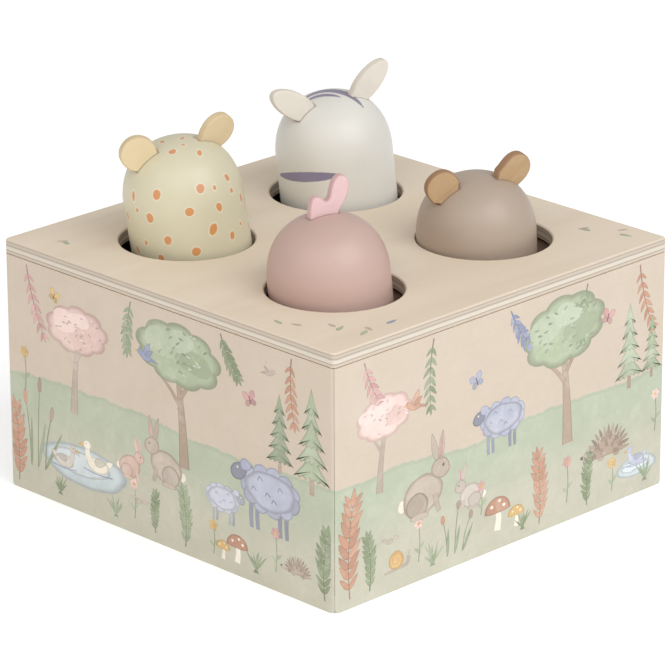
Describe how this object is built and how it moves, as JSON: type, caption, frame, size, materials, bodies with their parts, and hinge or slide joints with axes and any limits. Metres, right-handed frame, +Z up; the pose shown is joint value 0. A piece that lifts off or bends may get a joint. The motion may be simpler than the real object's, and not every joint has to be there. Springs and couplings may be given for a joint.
{
  "type": "pop up animal toy",
  "caption": "Square wooden box with round holes in its lid; domed wooden animals with ears stand in the holes on coil springs and pop up again when pressed down.",
  "frame": {"origin": "middle of the box on the surface that it stands on", "axes": "+Z up; the walls face -Y, +X, +Y and -X, and the picture looks at the corner at -X -Y"},
  "size_m": [0.14, 0.14, 0.1202],
  "materials": {
    "birch": "bare birch plywood, fine sanded, light edges",
    "printed_birch": "birch plywood with a flat print under a satin varnish",
    "plain_birch": "bare birch plywood",
    "beech": "bare turned beech",
    "spring_steel": "drawn spring wire, lightly oiled",
    "zinc_steel": "bright zinc plate",
    "leopard_paint": "painted beech, satin, pale cream green with brown spots",
    "leopard_ear_paint": "stained plywood, satin, pale yellow",
    "zebra_paint": "painted beech, satin, off-white with mauve stripes",
    "zebra_ear_paint": "painted plywood, satin, cream",
    "hippo_paint": "painted beech, satin, taupe",
    "hippo_ear_paint": "stained plywood, satin, tan",
    "flamingo_paint": "painted beech, satin, dusty pink",
    "flamingo_comb_paint": "painted plywood, satin, light pink"
  },
  "bodies": {
    "box": {"lid": "birch", "front_right_wall": "printed_birch", "back_right_wall": "printed_birch", "back_left_wall": "printed_birch", "front_left_wall": "printed_birch", "base_panel": "plain_birch", "front_corner_block": "beech", "right_corner_block": "beech", "back_corner_block": "beech", "left_corner_block": "beech", "front_base_screw": "zinc_steel", "right_base_screw": "zinc_steel", "back_base_screw": "zinc_steel", "left_base_screw": "zinc_steel", "leopard_spring_seat": "beech", "zebra_spring_seat": "beech", "hippo_spring_seat": "beech", "flamingo_spring_seat": "beech", "leopard_spring": "spring_steel", "zebra_spring": "spring_steel", "hippo_spring": "spring_steel", "flamingo_spring": "spring_steel"},
    "leopard_plunger": {"leopard_retaining_disc": "beech"},
    "leopard_figure": {"leopard_body": "leopard_paint", "leopard_left_ear": "leopard_ear_paint", "leopard_right_ear": "leopard_ear_paint", "leopard_disc_screw": "zinc_steel"},
    "zebra_plunger": {"zebra_retaining_disc": "beech"},
    "zebra_figure": {"zebra_body": "zebra_paint", "zebra_left_ear": "zebra_ear_paint", "zebra_right_ear": "zebra_ear_paint", "zebra_disc_screw": "zinc_steel"},
    "hippo_plunger": {"hippo_retaining_disc": "beech"},
    "hippo_figure": {"hippo_body": "hippo_paint", "hippo_left_ear": "hippo_ear_paint", "hippo_right_ear": "hippo_ear_paint", "hippo_disc_screw": "zinc_steel"},
    "flamingo_plunger": {"flamingo_retaining_disc": "beech"},
    "flamingo_figure": {"flamingo_body": "flamingo_paint", "flamingo_comb": "flamingo_comb_paint", "flamingo_disc_screw": "zinc_steel"}
  },
  "joints": [
    {"name": "leopard_press", "type": "slide", "parent": "box", "child": "leopard_plunger", "axis": [-0.1021, 0.1021, 0.9895], "range_m": [-0.02, 0], "stiffness_N_per_m": 200, "springref_m": 0.003, "deforming": ["leopard_spring"]},
    {"name": "leopard_spin", "type": "hinge", "parent": "leopard_plunger", "child": "leopard_figure", "pos_m": [-0.03059, 0.03059, 0.079], "axis": [-0.1021, 0.1021, 0.9895], "continuous": true},
    {"name": "zebra_press", "type": "slide", "parent": "box", "child": "zebra_plunger", "axis": [-0.0678, 0.0678, 0.9954], "range_m": [-0.02, 0], "stiffness_N_per_m": 200, "springref_m": 0.003, "deforming": ["zebra_spring"]},
    {"name": "zebra_spin", "type": "hinge", "parent": "zebra_plunger", "child": "zebra_figure", "pos_m": [0.03179, 0.0308, 0.079], "axis": [-0.0678, 0.0678, 0.9954], "continuous": true},
    {"name": "hippo_press", "type": "slide", "parent": "box", "child": "hippo_plunger", "axis": [-0.0308, 0.0308, 0.999], "range_m": [-0.014, 0], "stiffness_N_per_m": 200, "springref_m": 0.003, "deforming": ["hippo_spring"]},
    {"name": "hippo_spin", "type": "hinge", "parent": "hippo_plunger", "child": "hippo_figure", "pos_m": [0.02974, -0.02974, 0.079], "axis": [-0.0308, 0.0308, 0.999], "continuous": true},
    {"name": "flamingo_press", "type": "slide", "parent": "box", "child": "flamingo_plunger", "axis": [-0.0616, 0.0616, 0.9962], "range_m": [-0.02, 0], "stiffness_N_per_m": 200, "springref_m": 0.003, "deforming": ["flamingo_spring"]},
    {"name": "flamingo_spin", "type": "hinge", "parent": "flamingo_plunger", "child": "flamingo_figure", "pos_m": [-0.03225, -0.03035, 0.079], "axis": [-0.0616, 0.0616, 0.9962], "continuous": true}
  ]
}
